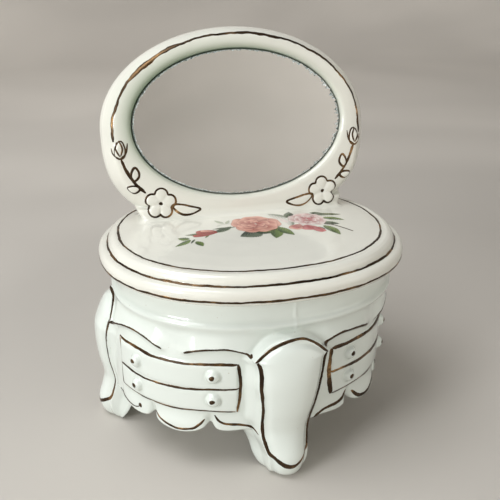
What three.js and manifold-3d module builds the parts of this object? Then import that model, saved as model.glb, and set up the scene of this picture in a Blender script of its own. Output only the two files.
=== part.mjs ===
// Porcelain trinket box shaped like a small vanity commode: an oval box on four
// cabriole legs, and a lift-off lid that carries an oval mirror in its frame.
// Millimetres, +Z up. The origin is on the ground under the middle of the whole
// object, +X is to the right of someone looking into the mirror, -Y is the front.
import * as THREE from 'three';
import { mergeVertices } from 'three/addons/utils/BufferGeometryUtils.js';
import Module from 'manifold-3d';

const wasm = await Module();
wasm.setup();

// ---- driving dimensions -------------------------------------------------
// Plan shape shared by the lid and the box
const LID_WIDTH = 125;
const LID_DEPTH = 110.6;
const OVAL_POWER = 2.16; // 2 is an ellipse, more is squarer
const OVAL_SEGMENTS = 64;
const CONTACT_GAP = 0.3; // between pieces that touch

// Box body
const WALL = 4.5;
const BODY_HEIGHT = 71.3; // ground to the seat of the lid
const BODY_INSET = 5.1; // panel wall inside the lid's widest oval
const NECK_INSET = 4.9;
const NECK_HEIGHT = 9.2;
const BODY_TURN = 4; // degrees: the hand-made box is a little askew below its neck
const BODY_SHIFT = -3;
const ASKEW_FULL_Z = 45; // the turn and the shift are whole below this height
const APRON_Z = 17.5; // lower edge of the wall above ground
const FLOOR_UNDERSIDE_Z = 20;
const FLOOR_THICKNESS = 4.5;
const FLOOR_CORNER = 5; // slope between the floor and the wall inside
const TUCK = 1; // how far an outer edge draws in
const APRON_SLOPE = 5; // height over which the wall's lower edge draws in
const NECK_LEDGE = 0.8; // ledge where the neck meets the wall

// Four cabriole legs
const LEG_TOP_Z = 58.5;
const LEG_SHOULDER_Z = 56;
const LEG_EAR_Z = 50.3;
const LEG_HALF_WIDTH = 14.1; // at the ears
const KNEE_PROUD = 6; // a side leg's knee in front of the panel wall
const FOOT_PROUD = 6.2;
const ANKLE_PROUD = 3.4;
const FRONT_LEG_EXTRA = 4.2; // the front and back legs stand further out
const FOOT_HALF_WIDTH = 6;

// Moulded drawer fronts, two over each other on each of four panels
const SIDE_LEG = 97; // degrees round the oval from the front leg
const PANEL_START = 17.5; // degrees round the oval from the front leg
const PANEL_END = 75.8;
const DRAWER_BOTTOM_Z = 26.8;
const DRAWER_HEIGHT = 9.5;
const DRAWER_SPACING = 10.4;
const DRAWER_PROUD = 0.9;
const KNOB_RADIUS = 2.1;
const KNOB_START = 26.9;
const KNOB_END = 62.4;

// Lid
const LID_LOWER_STEP = 6.4; // seat to the first gold edge
const LID_UPPER_STEP = 4; // first edge to the top oval
const LOWER_STEP_INSET = 3.7;
const UPPER_STEP_INSET = 8;
const LID_DOME = 1.4;
const LID_WALL = 4.2;
const LID_EDGE_ROUND = 1.6;
const FLANGE_DEPTH = 5;
const FLANGE_WALL = 3;
const FLANGE_CLEARANCE = 1;

// Mirror frame, leaning back from its foot on the lid
const MIRROR_LEAN = 10.5; // degrees
const MIRROR_RISE = 37.5; // lid's top plane to the middle of the mirror
const MIRROR_SETBACK = 18.7; // middle of the mirror behind the lid's middle
const FRAME_WIDTH = 114.4;
const FRAME_HEIGHT = 81;
const FRAME_FOOT_WIDTH = 87;
const FRAME_THICKNESS = 11;
const FRAME_BEVEL = 4.2;
const FRAME_FRONT = 1.6; // front face in front of the glass

// Mirror and the glue behind it
const GLASS_WIDTH = 88.4;
const GLASS_HEIGHT = 58.6;
const GLASS_THICKNESS = 2;
const GLASS_RAISE = 1.2; // middle of the glass above the middle of the frame
const GLASS_CLEARANCE = 0.8;
const GLUE_THICKNESS = 0.8;
const GLUE_MARGIN = 3;

// ---- derived ------------------------------------------------------------
const A = LID_WIDTH / 2;
const B = LID_DEPTH / 2;
const WALL_R = A - BODY_INSET;
const NECK_R = A - NECK_INSET;
const LID_SEAT_Z = BODY_HEIGHT + CONTACT_GAP;
const LID_PLANE_Z = LID_SEAT_Z + LID_LOWER_STEP + LID_UPPER_STEP;
const FLOOR_Z = FLOOR_UNDERSIDE_Z + FLOOR_THICKNESS;
const CAVITY_R = NECK_R - WALL;
const RIDGE_Z = BODY_HEIGHT - NECK_HEIGHT;
const RAD = Math.PI / 180;

// ---- materials ----------------------------------------------------------
const porcelain = (color) =>
  new THREE.MeshStandardMaterial({ color, roughness: 0.15, metalness: 0 });
const mirror = new THREE.MeshStandardMaterial({
  color: 0xd7dcdc,
  roughness: 0.03,
  metalness: 1,
});
const glue = new THREE.MeshStandardMaterial({
  color: 0xcfc9ae,
  roughness: 0.6,
  metalness: 0,
});

// ---- solids -------------------------------------------------------------
function toSolid(geometry) {
  const bare = geometry.index ? geometry.toNonIndexed() : geometry.clone();
  bare.deleteAttribute('normal');
  bare.deleteAttribute('uv');
  const merged = mergeVertices(bare, 1e-4);
  return new wasm.Manifold(
    new wasm.Mesh({
      numProp: 3,
      vertProperties: new Float32Array(merged.attributes.position.array),
      triVerts: new Uint32Array(merged.index.array),
    }),
  );
}

function toGeometry(solid) {
  const mesh = solid.getMesh();
  const geometry = new THREE.BufferGeometry();
  geometry.setAttribute(
    'position',
    new THREE.BufferAttribute(new Float32Array(mesh.vertProperties), 3),
  );
  geometry.setIndex(new THREE.BufferAttribute(new Uint32Array(mesh.triVerts), 1));
  geometry.computeVertexNormals();
  return geometry;
}

function joined(solids) {
  return solids.reduce((whole, next) => whole.add(next));
}

// Point of the plan oval at an angle from the front, as shares of A and B.
function ovalPoint(angle) {
  const power = 2 / OVAL_POWER;
  const s = Math.sin(angle);
  const c = Math.cos(angle);
  return [
    Math.sign(s) * Math.abs(s) ** power,
    -Math.sign(c) * Math.abs(c) ** power,
  ];
}

// Turns and shifts the box's points below its neck, more the lower they are.
function askew(geometry) {
  const position = geometry.attributes.position;
  for (let i = 0; i < position.count; i++) {
    const depth = (RIDGE_Z - position.getZ(i)) / (RIDGE_Z - ASKEW_FULL_Z);
    const share = Math.min(Math.max(depth, 0), 1);
    const c = Math.cos(BODY_TURN * RAD * share);
    const s = Math.sin(BODY_TURN * RAD * share);
    const x = position.getX(i);
    const y = position.getY(i);
    position.setXY(i, c * x - s * y + BODY_SHIFT * share, s * x + c * y);
  }
  return geometry;
}

// A profile of (half width, height) points turned round the plan oval.
function ovalGeometry(profile) {
  const points = profile.map(([r, z]) => new THREE.Vector2(r, z));
  const geometry = new THREE.LatheGeometry(points, OVAL_SEGMENTS);
  geometry.rotateX(Math.PI / 2);
  const position = geometry.attributes.position;
  for (let i = 0; i < position.count; i++) {
    const x = position.getX(i);
    const y = position.getY(i);
    const r = Math.hypot(x, y);
    const [u, v] = ovalPoint(Math.atan2(x, -y));
    position.setXY(i, r * u, (r * v * B) / A);
  }
  return geometry;
}

function ovalLathe(profile) {
  return toSolid(ovalGeometry(profile));
}

// Bends a flat relief onto the panel wall: x is degrees round the oval from
// the front, y is how far it stands proud (towards -Y), z stays the height.
function bentOntoWall(geometry) {
  const position = geometry.attributes.position;
  for (let i = 0; i < position.count; i++) {
    const [u, v] = ovalPoint(position.getX(i) * RAD);
    const reach = WALL_R - position.getY(i);
    position.setXY(i, reach * u, reach * v * (B / A));
  }
  return toSolid(askew(geometry));
}

function extruded(shape, depth, options = {}) {
  return new THREE.ExtrudeGeometry(shape, {
    depth,
    bevelEnabled: false,
    curveSegments: 12,
    ...options,
  });
}

function smoothShape(points, divisions) {
  const curve = new THREE.SplineCurve(points.map(([x, y]) => new THREE.Vector2(x, y)));
  return curve.getPoints(divisions);
}

// ---- box body -----------------------------------------------------------
function bodyShell() {
  const innerR = WALL_R - WALL;
  const profile = [
    [0, FLOOR_UNDERSIDE_Z],
    [innerR - TUCK, FLOOR_UNDERSIDE_Z],
    [innerR, APRON_Z],
    [WALL_R - TUCK, APRON_Z],
    [WALL_R, APRON_Z + APRON_SLOPE],
    [WALL_R, ASKEW_FULL_Z],
    [(WALL_R + NECK_R + NECK_LEDGE) / 2, (ASKEW_FULL_Z + RIDGE_Z) / 2],
    [NECK_R + NECK_LEDGE, RIDGE_Z],
    [NECK_R - NECK_LEDGE, RIDGE_Z + 2 * NECK_LEDGE],
    [NECK_R, BODY_HEIGHT - TUCK],
    [NECK_R - TUCK, BODY_HEIGHT],
    [CAVITY_R, BODY_HEIGHT],
    [CAVITY_R, RIDGE_Z],
    [CAVITY_R, ASKEW_FULL_Z],
    [CAVITY_R, FLOOR_Z + FLOOR_CORNER],
    [CAVITY_R - FLOOR_CORNER, FLOOR_Z],
    [0, FLOOR_Z],
  ];
  return toSolid(askew(ovalGeometry(profile)));
}

// Side of a leg: distance proud of the panel wall against height.
function legSideShape(extra) {
  const outer = smoothShape(
    [
      [0, LEG_TOP_Z],
      [KNEE_PROUD * 0.7 + extra * 0.8, LEG_TOP_Z * 0.9],
      [KNEE_PROUD + extra, LEG_TOP_Z * 0.73],
      [KNEE_PROUD * 0.85 + extra, LEG_TOP_Z * 0.52],
      [ANKLE_PROUD + extra, FLOOR_UNDERSIDE_Z],
      [FOOT_PROUD + extra, FLOOR_UNDERSIDE_Z / 2],
      [FOOT_PROUD * 0.75 + extra, FLOOR_UNDERSIDE_Z * 0.15],
      [extra * 0.8, 0],
    ],
    28,
  );
  const inner = smoothShape(
    [
      [-WALL * 1.5, 0],
      [-WALL * 1.9, FLOOR_UNDERSIDE_Z / 4],
      [-WALL * 1.7, FLOOR_UNDERSIDE_Z / 2],
      [-WALL * 1.3, APRON_Z],
      [-WALL * 0.8, FLOOR_UNDERSIDE_Z + 2],
    ],
    10,
  );
  const shape = new THREE.Shape(outer.concat(inner));
  shape.lineTo(-WALL * 0.6, LEG_TOP_Z - TUCK);
  shape.closePath();
  return shape;
}

// Front of a leg: a shield with an arched top and two ears, down to the foot.
function legFrontShape() {
  const side = smoothShape(
    [
      [LEG_HALF_WIDTH, LEG_EAR_Z],
      [LEG_HALF_WIDTH * 0.86, LEG_EAR_Z * 0.78],
      [LEG_HALF_WIDTH * 0.72, LEG_EAR_Z * 0.5],
      [FOOT_HALF_WIDTH * 1.4, LEG_EAR_Z * 0.3],
      [FOOT_HALF_WIDTH * 1.25, LEG_EAR_Z * 0.12],
      [FOOT_HALF_WIDTH, -1],
    ],
    14,
  );
  const arch = smoothShape(
    [
      [-LEG_HALF_WIDTH, LEG_EAR_Z],
      [-LEG_HALF_WIDTH * 0.42, LEG_SHOULDER_Z],
      [0, LEG_TOP_Z],
      [LEG_HALF_WIDTH * 0.42, LEG_SHOULDER_Z],
      [LEG_HALF_WIDTH, LEG_EAR_Z],
    ],
    12,
  );
  const left = side.map((p) => new THREE.Vector2(-p.x, p.y)).reverse();
  return new THREE.Shape(side.concat(left.slice(0, -1), arch.slice(0, -1)));
}

// One leg, facing outwards where it meets the wall at this angle.
function leg([degrees, extra]) {
  const span = LEG_HALF_WIDTH * 3;
  const depth = LEG_HALF_WIDTH * 3;
  const [u, v] = ovalPoint(degrees * RAD);
  const root = [WALL_R * u, WALL_R * v * (B / A)];
  const across = Math.sign(u) * Math.abs(u) ** (OVAL_POWER - 1);
  const along = (Math.sign(v) * Math.abs(v) ** (OVAL_POWER - 1) * A) / B;
  const facing = Math.atan2(across, -along) / RAD;
  const side = extruded(legSideShape(extra), span);
  side.translate(0, 0, -span / 2);
  side.rotateX(Math.PI / 2);
  side.rotateZ(-Math.PI / 2);
  const front = extruded(legFrontShape(), depth);
  front.rotateX(Math.PI / 2);
  front.translate(0, depth / 2, 0);
  return toSolid(side)
    .intersect(toSolid(front))
    .rotate([0, 0, facing])
    .translate([...root, 0])
    .rotate([0, 0, BODY_TURN])
    .translate([BODY_SHIFT, 0, 0]);
}

function legs() {
  const sides = [SIDE_LEG, -SIDE_LEG].map((degrees) => leg([degrees, 0]));
  const others = [0, 180].map((degrees) => leg([degrees, FRONT_LEG_EXTRA]));
  return [...sides, ...others];
}

function drawerFront(start, end, z) {
  const sunk = WALL / 2;
  const plate = new THREE.BoxGeometry(
    end - start,
    DRAWER_PROUD + sunk,
    DRAWER_HEIGHT,
    12,
    1,
    1,
  );
  plate.translate((start + end) / 2, (sunk - DRAWER_PROUD) / 2, z + DRAWER_HEIGHT / 2);
  return bentOntoWall(plate);
}

function knob(angle, z) {
  const [u, v] = ovalPoint(angle * RAD);
  const reach = WALL_R + DRAWER_PROUD + KNOB_RADIUS * 0.3;
  const ball = new THREE.SphereGeometry(KNOB_RADIUS, 10, 6);
  ball.translate(reach * u, reach * v * (B / A), z);
  return toSolid(askew(ball));
}

// Drawer fronts and knobs of the panel between two legs, mirrored as needed.
function panelRelief(from, direction, stretch) {
  const at = (angle) => from + direction * stretch * angle;
  const pieces = [];
  for (const row of [0, 1]) {
    const z = DRAWER_BOTTOM_Z + row * DRAWER_SPACING;
    const edges = [at(PANEL_START), at(PANEL_END)].sort((p, q) => p - q);
    pieces.push(drawerFront(edges[0], edges[1], z));
    pieces.push(knob(at(KNOB_START), z + DRAWER_HEIGHT / 2));
    pieces.push(knob(at(KNOB_END), z + DRAWER_HEIGHT / 2));
  }
  return pieces;
}

function baseBox() {
  const backStretch = (180 - SIDE_LEG) / SIDE_LEG;
  const panels = [
    ...panelRelief(0, 1, 1),
    ...panelRelief(0, -1, 1),
    ...panelRelief(180, 1, backStretch),
    ...panelRelief(180, -1, backStretch),
  ];
  const above = BODY_HEIGHT + WALL;
  const cavityProfile = [
    [0, FLOOR_Z],
    [CAVITY_R - FLOOR_CORNER, FLOOR_Z],
    [CAVITY_R, FLOOR_Z + FLOOR_CORNER],
    [CAVITY_R, ASKEW_FULL_Z],
    [CAVITY_R, RIDGE_Z],
    [CAVITY_R, above],
    [0, above],
  ];
  const cavity = toSolid(askew(ovalGeometry(cavityProfile)));
  const solid = joined([bodyShell(), ...legs(), ...panels]).subtract(cavity);
  return new THREE.Mesh(toGeometry(solid), porcelain(0xe9ebe2));
}

// ---- lid ----------------------------------------------------------------
function lidCover() {
  const seat = LID_SEAT_Z;
  const step = seat + LID_LOWER_STEP;
  const flangeR = CAVITY_R - FLANGE_CLEARANCE;
  const hollowTop = LID_PLANE_Z - LID_WALL;
  return ovalLathe([
    [0, hollowTop + LID_DOME],
    [flangeR - FLANGE_WALL - LID_LOWER_STEP, hollowTop],
    [flangeR - FLANGE_WALL, seat],
    [flangeR - FLANGE_WALL, seat - FLANGE_DEPTH],
    [flangeR, seat - FLANGE_DEPTH],
    [flangeR, seat],
    [A - LID_EDGE_ROUND, seat],
    [A - LID_EDGE_ROUND * 0.15, seat + LID_EDGE_ROUND * 0.75],
    [A, seat + LID_LOWER_STEP * 0.53],
    [A - LID_EDGE_ROUND * 0.6, seat + LID_LOWER_STEP * 0.78],
    [A - LOWER_STEP_INSET, step],
    [A - LOWER_STEP_INSET * 1.1, step + LID_UPPER_STEP * 0.35],
    [A - LOWER_STEP_INSET - LID_EDGE_ROUND, step + LID_UPPER_STEP * 0.85],
    [A - UPPER_STEP_INSET, LID_PLANE_Z],
    [A * 0.45, LID_PLANE_Z + LID_DOME * 0.7],
    [0, LID_PLANE_Z + LID_DOME],
  ]);
}

// Everything of the mirror is drawn upright in X and Y with its front towards
// +Z, then stood up, leant back and moved to its place on the lid.
function placedOnLid(geometry) {
  geometry.rotateX(Math.PI / 2 - MIRROR_LEAN * RAD);
  geometry.translate(0, MIRROR_SETBACK, LID_PLANE_Z + MIRROR_RISE);
  return geometry;
}

function ellipseShape(halfWidth, halfHeight, middle) {
  const curve = new THREE.EllipseCurve(0, middle, halfWidth, halfHeight);
  return new THREE.Shape(curve.getPoints(OVAL_SEGMENTS).slice(0, -1));
}

// Frame outline: a half ellipse above, fuller below, on a foot in the lid.
function frameOutline(inset) {
  const halfWidth = FRAME_WIDTH / 2 - inset;
  const halfHeight = FRAME_HEIGHT / 2 - inset;
  const foot = FRAME_FOOT_WIDTH / 2 - inset;
  const lowest = -MIRROR_RISE / Math.cos(MIRROR_LEAN * RAD) - LID_WALL / 2;
  const fullness = 2.8;
  const points = [];
  for (let i = 0; i <= OVAL_SEGMENTS; i++) {
    const angle = (i / OVAL_SEGMENTS) * 2 * Math.PI;
    const c = Math.cos(angle);
    const s = Math.sin(angle);
    const power = s < 0 ? 2 / fullness : 1;
    const x = halfWidth * Math.sign(c) * Math.abs(c) ** power;
    const y = halfHeight * Math.sign(s) * Math.abs(s) ** power;
    if (y > 0 || Math.abs(x) > foot) {
      points.push(new THREE.Vector2(x, y));
    }
    if (y < 0 && Math.abs(x) <= foot && points.length && points.at(-1).x < -foot) {
      points.push(new THREE.Vector2(-foot, lowest), new THREE.Vector2(foot, lowest));
    }
  }
  return new THREE.Shape(points.slice(0, -1));
}

function mirrorFrame() {
  const back = FRAME_FRONT - FRAME_THICKNESS;
  const body = extruded(frameOutline(FRAME_BEVEL), FRAME_THICKNESS - 2 * FRAME_BEVEL, {
    bevelEnabled: true,
    bevelSize: FRAME_BEVEL,
    bevelThickness: FRAME_BEVEL,
    bevelSegments: 2,
  });
  body.translate(0, 0, back + FRAME_BEVEL);
  const seatDepth = GLASS_THICKNESS + GLUE_THICKNESS + 2 * CONTACT_GAP;
  const seat = extruded(
    ellipseShape(
      GLASS_WIDTH / 2 + GLASS_CLEARANCE,
      GLASS_HEIGHT / 2 + GLASS_CLEARANCE,
      GLASS_RAISE,
    ),
    FRAME_THICKNESS,
  );
  seat.translate(0, 0, -seatDepth);
  return toSolid(placedOnLid(body)).subtract(toSolid(placedOnLid(seat)));
}

function lid() {
  return new THREE.Mesh(toGeometry(lidCover().add(mirrorFrame())), porcelain(0xeeefe6));
}

function mirrorGlass() {
  const glass = extruded(
    ellipseShape(GLASS_WIDTH / 2, GLASS_HEIGHT / 2, GLASS_RAISE),
    GLASS_THICKNESS,
  );
  glass.translate(0, 0, -GLASS_THICKNESS);
  return new THREE.Mesh(placedOnLid(glass), mirror);
}

function mirrorGlue() {
  const pad = extruded(
    ellipseShape(
      GLASS_WIDTH / 2 - GLUE_MARGIN,
      GLASS_HEIGHT / 2 - GLUE_MARGIN,
      GLASS_RAISE,
    ),
    GLUE_THICKNESS,
  );
  pad.translate(0, 0, -GLASS_THICKNESS - CONTACT_GAP - GLUE_THICKNESS);
  return new THREE.Mesh(placedOnLid(pad), glue);
}

// ---- assembly -----------------------------------------------------------
const pieces = {
  base_box: baseBox(),
  lid: lid(),
  mirror_glass: mirrorGlass(),
  mirror_glue: mirrorGlue(),
};

const trinketBox = new THREE.Group();
for (const [name, mesh] of Object.entries(pieces)) {
  mesh.name = name;
  trinketBox.add(mesh);
}

const extent = new THREE.Box3().setFromObject(trinketBox);
trinketBox.position.x = -(extent.min.x + extent.max.x) / 2;

export default trinketBox;
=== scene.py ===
import math

import bpy
import numpy as np
from mathutils import Matrix, Vector
from mathutils.bvhtree import BVHTree


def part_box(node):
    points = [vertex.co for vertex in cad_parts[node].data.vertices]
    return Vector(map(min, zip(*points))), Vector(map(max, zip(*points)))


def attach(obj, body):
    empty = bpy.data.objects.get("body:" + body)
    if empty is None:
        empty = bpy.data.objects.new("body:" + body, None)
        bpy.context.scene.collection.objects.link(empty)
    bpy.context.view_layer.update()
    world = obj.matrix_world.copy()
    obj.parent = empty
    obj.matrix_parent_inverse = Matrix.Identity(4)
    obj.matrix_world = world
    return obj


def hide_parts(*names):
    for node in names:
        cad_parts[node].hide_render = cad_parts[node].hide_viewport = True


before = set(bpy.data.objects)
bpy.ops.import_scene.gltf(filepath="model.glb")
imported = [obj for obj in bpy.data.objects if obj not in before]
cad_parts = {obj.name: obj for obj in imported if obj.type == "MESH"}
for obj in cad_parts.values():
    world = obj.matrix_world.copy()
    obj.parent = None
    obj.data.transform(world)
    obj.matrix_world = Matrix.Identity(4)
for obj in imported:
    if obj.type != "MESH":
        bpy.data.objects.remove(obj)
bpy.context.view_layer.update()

MM = 0.001

# ---- sizes in millimetres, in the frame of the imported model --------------
LID_BOX = [[c / MM for c in corner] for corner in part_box("lid")]
BASE_BOX = [[c / MM for c in corner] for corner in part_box("base_box")]
A = (LID_BOX[1][0] - LID_BOX[0][0]) / 2  # half width of the lid
B = -LID_BOX[0][1]  # half depth of the lid
LID_MIDDLE = np.array([(LID_BOX[1][0] + LID_BOX[0][0]) / 2, 0.0, 0.0])  # all sizes are from here
ASPECT = B / A
POWER = 2.16  # of the plan oval
BODY_TOP = BASE_BOX[1][2]
SEAT_Z = BODY_TOP + 0.3
PLANE_Z = SEAT_Z + 10.4  # edge of the lid's top oval
RIDGE_Z = BODY_TOP - 9.2
APRON_Z = 17.5
FLOOR_Z = 24.5
FLOOR_UNDER = 20.0
WALL_R = A - 5.1
NECK_R = A - 4.9
BODY_TURN = math.radians(4.0)  # the hand-made box is a little askew below its neck
BODY_SHIFT = -3.0
ASKEW_FULL_Z = 45.0
SIDE_LEG = 97.0  # degrees round from the front leg
CAVITY_R = NECK_R - 4.5

# Mirror plane: u to the right, w up the plane, d out of its front
LEAN = math.radians(10.5)
MIRROR_MID = np.array([0.0, 18.7, PLANE_Z + 37.5])
U_AXIS = np.array([1.0, 0.0, 0.0])
W_AXIS = np.array([0.0, math.sin(LEAN), math.cos(LEAN)])
D_AXIS = np.array([0.0, -math.cos(LEAN), math.sin(LEAN)])
GLASS_HALF = (44.6, 29.7)
GLASS_RAISE = 1.2
SEAT_HALF = (45.0, 30.1)


# ---- small helpers ------------------------------------------------------
def smooth_step(low, high, x):
    t = np.clip((np.asarray(x, float) - low) / (high - low), 0.0, 1.0)
    return t * t * (3 - 2 * t)


def bell(x, reach):
    return np.exp(-((x / reach) ** 2))


def dome(x, half):
    return np.clip(1 - (x / half) ** 2, 0, 1)


def signed_power(x, power):
    return np.sign(x) * np.abs(x) ** power


def spline(points, count):
    """Catmull-Rom curve through the points, evenly spaced along its length."""
    p = np.asarray(points, float)
    p = np.vstack([2 * p[0] - p[1], p, 2 * p[-1] - p[-2]])
    t = np.linspace(0, 1, 24, endpoint=False)[:, None]
    out = []
    for a, b, c, d in zip(p, p[1:], p[2:], p[3:]):
        bend = (2 * a - 5 * b + 4 * c - d) * t**2 + (3 * b - a - 3 * c + d) * t**3
        out.append(0.5 * (2 * b + (c - a) * t + bend))
    return resample(np.vstack([*out, p[-2]]), count)


def resample(path, count):
    path = np.asarray(path, float)
    step = np.linalg.norm(np.diff(path, axis=0), axis=1)
    at = np.concatenate([[0], np.cumsum(step)])
    want = np.linspace(0, at[-1], count)
    return np.stack([np.interp(want, at, path[:, k]) for k in range(path.shape[1])], 1)


def through(points, x):
    """Height of the smooth curve through (x, y) points, at each x."""
    curve = spline(points, 400)
    order = np.argsort(curve[:, 0])
    return np.interp(x, curve[order, 0], curve[order, 1])


def soft_noise(x, seed, scales=(1.0, 2.3, 4.9)):
    """Smooth noise of about -1 to 1 along a line."""
    rng = np.random.RandomState(seed)
    value = np.zeros_like(np.asarray(x, float))
    for k, scale in enumerate(scales):
        phase, skew = rng.uniform(0, 6.28, 2)
        value += np.sin(x * scale + phase + 0.7 * np.sin(x * scale * 0.37 + skew)) / (k + 1)
    return value / 1.6


def new_mesh(name, verts, faces, material=None):
    mesh = bpy.data.meshes.new(name)
    mesh.from_pydata(((np.asarray(verts) + LID_MIDDLE) * MM).tolist(), [], [tuple(f) for f in faces])
    mesh.validate()
    mesh.polygons.foreach_set("use_smooth", [True] * len(mesh.polygons))
    obj = bpy.data.objects.new(name, mesh)
    bpy.context.scene.collection.objects.link(obj)
    if material:
        mesh.materials.append(material)
    return obj


def loft(rings, close_end=True):
    """Closed rings of equal length joined in order, with fans at the ends."""
    rings = np.asarray(rings)
    rows, cols, _ = rings.shape
    verts = [tuple(v) for v in rings.reshape(-1, 3)]
    i = np.arange(rows - 1)[:, None] * cols
    j = np.arange(cols)[None]
    k = (j + 1) % cols
    faces = np.stack([i + j, i + k, i + cols + k, i + cols + j], -1).reshape(-1, 4).tolist()
    verts.append(tuple(rings[0].mean(0)))
    faces += [(rows * cols, (c + 1) % cols, c) for c in range(cols)]
    if close_end:
        last = (rows - 1) * cols
        verts.append(tuple(rings[-1].mean(0)))
        faces += [(rows * cols + 1, last + c, last + (c + 1) % cols) for c in range(cols)]
    return verts, faces


def fused(name, solids, smoothing, material):
    """Joins closed solids into one glazed casting, with soft inner corners."""
    verts, faces = [], []
    for v, f in solids:
        start = len(verts)
        verts.extend(v)
        faces.extend([tuple(n + start for n in face) for face in f])
    obj = new_mesh(name, verts, faces)
    bpy.context.view_layer.objects.active = obj
    remesh = obj.modifiers.new("remesh", "REMESH")
    remesh.mode = "VOXEL"
    remesh.voxel_size = VOXEL * MM
    smooth = obj.modifiers.new("smooth", "SMOOTH")
    smooth.factor = 0.5
    smooth.iterations = smoothing
    evaluated = obj.evaluated_get(bpy.context.evaluated_depsgraph_get())
    mesh = bpy.data.meshes.new_from_object(evaluated)
    obj.modifiers.clear()
    obj.data = mesh
    mesh.name = name
    mesh.materials.clear()
    mesh.materials.append(material)
    mesh.polygons.foreach_set("use_smooth", [True] * len(mesh.polygons))
    return obj


def mesh_points(obj):
    co = np.empty(len(obj.data.vertices) * 3)
    obj.data.vertices.foreach_get("co", co)
    return co.reshape(-1, 3) / MM - LID_MIDDLE


def surface_tree(obj):
    points = mesh_points(obj)
    return BVHTree.FromPolygons(points.tolist(), [tuple(p.vertices) for p in obj.data.polygons])


# ---- plan oval ----------------------------------------------------------
def oval(degrees):
    """Point of the plan oval at an angle from the front, as shares of A and B."""
    angle = np.radians(degrees)
    return signed_power(np.stack([np.sin(angle), -np.cos(angle)], -1), 2 / POWER)


def oval_normal(share):
    """Direction out of the oval at its points, not of unit length."""
    return signed_power(share, POWER - 1) / [1.0, ASPECT]


def oval_ring(degrees, half_width, z, proud=0.0):
    """Ring at one half width, moved outwards along its own normals."""
    share = oval(degrees)
    normal = oval_normal(share)
    size = np.hypot(*normal.T) + 1e-9
    x = share[:, 0] * half_width + normal[:, 0] / size * proud
    y = share[:, 1] * half_width * ASPECT + normal[:, 1] / size * proud
    return np.stack([x, y, x * 0 + z], -1)


def askew(points):
    """Turns and shifts the box's points below its neck, more the lower they are."""
    points = np.array(points, float)
    x, y, z = points[..., 0].copy(), points[..., 1].copy(), points[..., 2]
    share = np.clip((RIDGE_Z - z) / (RIDGE_Z - ASKEW_FULL_Z), 0, 1)
    c, n = np.cos(BODY_TURN * share), np.sin(BODY_TURN * share)
    points[..., 0] = c * x - n * y + BODY_SHIFT * share
    points[..., 1] = n * x + c * y
    return points


# ---- relief of the box's wall ------------------------------------------
PANEL = (16.0, 71.0)  # degrees from the front or back leg
DRAWER_Z = (26.8, 36.3, 46.9)  # lower edge, middle line, upper edge
KNOBS = [(25, 42.2), (25, 32), (59, 42), (59, 31.4)]
BROWS = [
    [(9.8, 49.4), (14, 51.6), (19, 52.8), (25, 52.6), (31, 51.7), (35.6, 50.2)],
    [(45.4, 50), (51.5, 52.2), (58.5, 53.3), (66, 52.8), (74, 50.8), (80.5, 48.6)],
]
APRON_EDGE = [
    (0, 18), (8, 17.3), (13, 18), (20, 17.6), (24, 18.2), (26.5, 20.4), (29, 18.6),
    (33, 17), (39, 16.2), (45, 16.9), (49, 18.3), (52, 20.4), (55, 18.3), (60, 17.5),
    (66, 17.8), (75, 18.4), (90, 18),
]
NOTCHES = (26.5, 52.0)


PANEL_FROM = 0.8  # degrees from a leg's middle to where its panel's own angles start
FRONT_SCALE = 1.044
BACK_SCALE = (180.0 - SIDE_LEG - 2 * PANEL_FROM) / 90.0


def panel_angle(degrees):
    """Turns an angle round the oval into a panel's angle: 0 by the front or back leg."""
    folded = np.abs((np.asarray(degrees) + 180.0) % 360.0 - 180.0)
    front = (folded - PANEL_FROM) / FRONT_SCALE
    back = (180.0 - folded - PANEL_FROM) / BACK_SCALE
    return np.clip(np.where(folded > SIDE_LEG, back, front), 0, 90)


def front_angle(p):
    return PANEL_FROM + p * FRONT_SCALE


def back_angle(p):
    return 180.0 - PANEL_FROM - p * BACK_SCALE


def brow_height(p):
    """Lower edge of the brow moulding and how strong it is at each angle."""
    edge = np.full_like(p, 50.0)
    strength = np.zeros_like(p)
    for brow in BROWS:
        low, high = brow[0][0], brow[-1][0]
        inside = (p > low - 6) & (p < high + 6)
        edge = np.where(inside, through(brow, np.clip(p, low, high)), edge)
        on = smooth_step(low - 4, low + 4, p) * (1 - smooth_step(high - 5, high + 4, p))
        strength = np.maximum(strength, on)
    return edge, strength


KNOB_R = 2.7
KNOB_PROUD = 2.1
MM_PER_DEGREE = 1.03  # along the wall, near the knobs


def wall_relief(p, z):
    """How far the wall stands proud at panel angle p and height z."""
    outside = np.maximum(np.maximum(PANEL[0] - p, p - PANEL[1]),
                         np.maximum(DRAWER_Z[0] - z, z - DRAWER_Z[2]))
    proud = 0.75 * smooth_step(0.5, -0.6, outside)
    proud -= 0.32 * bell(z - DRAWER_Z[1], 0.7) * smooth_step(0.0, -1.5, outside)
    for knob_p, knob_z in KNOBS:
        r = np.hypot((p - knob_p) * MM_PER_DEGREE, z - knob_z)
        proud = proud + KNOB_PROUD * np.sqrt(dome(r, KNOB_R)) - 0.25 * bell(r - 3.1, 0.6)
    edge, strength = brow_height(p)
    above = z - edge
    roll = smooth_step(-0.7, 0.7, above) * (0.25 + 0.75 * np.exp(-np.clip(above, 0, 99) / 5.5))
    proud += 1.9 * strength * roll * smooth_step(RIDGE_Z, RIDGE_Z - 6, z)
    for notch in NOTCHES:
        proud -= 1.5 * bell(p - notch, 1.7) * smooth_step(27.5, 21.0, z)
    fall = smooth_step(26.8, 19.5, z)
    swag = dome(p - 39.2, 12.5)
    side = dome(p - 17.0, 9.0) + dome(p - 63.0, 10.5)
    proud += 1.7 * np.sqrt(swag) * fall * (0.55 + 0.45 * smooth_step(24, 18, z))
    return proud + 0.9 * np.sqrt(side) * fall


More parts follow.
